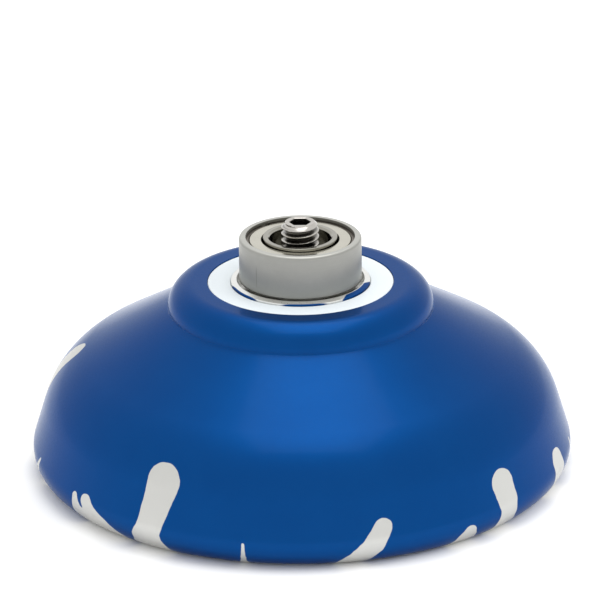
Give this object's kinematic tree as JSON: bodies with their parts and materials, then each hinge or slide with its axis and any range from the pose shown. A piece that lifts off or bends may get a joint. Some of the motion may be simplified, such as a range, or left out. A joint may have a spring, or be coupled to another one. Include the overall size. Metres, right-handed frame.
{
  "type": "ball-bearing yo-yo half",
  "caption": "Domed metal yo-yo half standing on its rim, with a response pad ring, a shielded ball bearing on a post and a threaded axle for the other half.",
  "frame": {"origin": "centre of the rim's rest circle, on the axle's line", "axes": "+Z along the axle from the rim towards the bearing; +X and +Y are free, and a ball of the bearing lies on +X"},
  "size_m": [0.0562, 0.0562, 0.0268],
  "materials": {
    "anodised_aluminium": "satin blue anodised, with bare silver splash marks at the rim",
    "silicone": "smooth white silicone",
    "screw_steel": "bright rolled thread",
    "race_steel": "ground stainless steel",
    "ball_steel": "polished",
    "cage_steel": "pressed sheet",
    "shield_steel": "pressed sheet with a warm nickel tone",
    "ring_steel": "spring steel"
  },
  "bodies": {
    "half": {"body_half": "anodised_aluminium", "response_pad": "silicone"},
    "axle": {"axle": "screw_steel"},
    "bearing_inner": {"inner_race": "race_steel"},
    "bearing_outer": {"outer_race": "race_steel", "shield_upper": "shield_steel", "shield_lower": "shield_steel", "snap_ring_upper": "ring_steel", "snap_ring_lower": "ring_steel"},
    "ball_cage": {"cage_upper": "cage_steel", "cage_lower": "cage_steel"},
    "ball_1": {"ball_1": "ball_steel"},
    "ball_2": {"ball_2": "ball_steel"},
    "ball_3": {"ball_3": "ball_steel"},
    "ball_4": {"ball_4": "ball_steel"},
    "ball_5": {"ball_5": "ball_steel"},
    "ball_6": {"ball_6": "ball_steel"},
    "ball_7": {"ball_7": "ball_steel"},
    "ball_8": {"ball_8": "ball_steel"}
  },
  "joints": [
    {"name": "bearing_lift", "type": "slide", "parent": "half", "child": "bearing_inner", "axis": [0, 0, 1], "range_m": [0, 0.008]},
    {"name": "outer_spin", "type": "hinge", "parent": "bearing_inner", "child": "bearing_outer", "pos_m": [0, 0, 0.02282], "axis": [0, 0, 1], "continuous": true},
    {"name": "cage_spin", "type": "hinge", "parent": "bearing_inner", "child": "ball_cage", "pos_m": [0, 0, 0.02282], "axis": [0, 0, 1], "continuous": true},
    {"name": "axle_turn", "type": "hinge", "parent": "half", "child": "axle", "pos_m": [0, 0, 0.0268], "axis": [0, 0, 1], "continuous": true},
    {"name": "ball_1_roll", "type": "hinge", "parent": "ball_cage", "child": "ball_1", "pos_m": [0.00476, 0, 0.02282], "axis": [0, 0, 1], "continuous": true},
    {"name": "ball_2_roll", "type": "hinge", "parent": "ball_cage", "child": "ball_2", "pos_m": [0.00337, 0.00337, 0.02282], "axis": [0, 0, 1], "continuous": true},
    {"name": "ball_3_roll", "type": "hinge", "parent": "ball_cage", "child": "ball_3", "pos_m": [0, 0.00476, 0.02282], "axis": [0, 0, 1], "continuous": true},
    {"name": "ball_4_roll", "type": "hinge", "parent": "ball_cage", "child": "ball_4", "pos_m": [-0.00337, 0.00337, 0.02282], "axis": [0, 0, 1], "continuous": true},
    {"name": "ball_5_roll", "type": "hinge", "parent": "ball_cage", "child": "ball_5", "pos_m": [-0.00476, 0, 0.02282], "axis": [0, 0, 1], "continuous": true},
    {"name": "ball_6_roll", "type": "hinge", "parent": "ball_cage", "child": "ball_6", "pos_m": [-0.00337, -0.00337, 0.02282], "axis": [0, 0, 1], "continuous": true},
    {"name": "ball_7_roll", "type": "hinge", "parent": "ball_cage", "child": "ball_7", "pos_m": [0, -0.00476, 0.02282], "axis": [0, 0, 1], "continuous": true},
    {"name": "ball_8_roll", "type": "hinge", "parent": "ball_cage", "child": "ball_8", "pos_m": [0.00337, -0.00337, 0.02282], "axis": [0, 0, 1], "continuous": true}
  ],
  "couplings": [
    {"joint": "cage_spin", "follows": "outer_spin", "ratio": 0.58333},
    {"joint": "ball_1_roll", "follows": "outer_spin", "ratio": 2.9167},
    {"joint": "ball_2_roll", "follows": "outer_spin", "ratio": 2.9167},
    {"joint": "ball_3_roll", "follows": "outer_spin", "ratio": 2.9167},
    {"joint": "ball_4_roll", "follows": "outer_spin", "ratio": 2.9167},
    {"joint": "ball_5_roll", "follows": "outer_spin", "ratio": 2.9167},
    {"joint": "ball_6_roll", "follows": "outer_spin", "ratio": 2.9167},
    {"joint": "ball_7_roll", "follows": "outer_spin", "ratio": 2.9167},
    {"joint": "ball_8_roll", "follows": "outer_spin", "ratio": 2.9167}
  ]
}
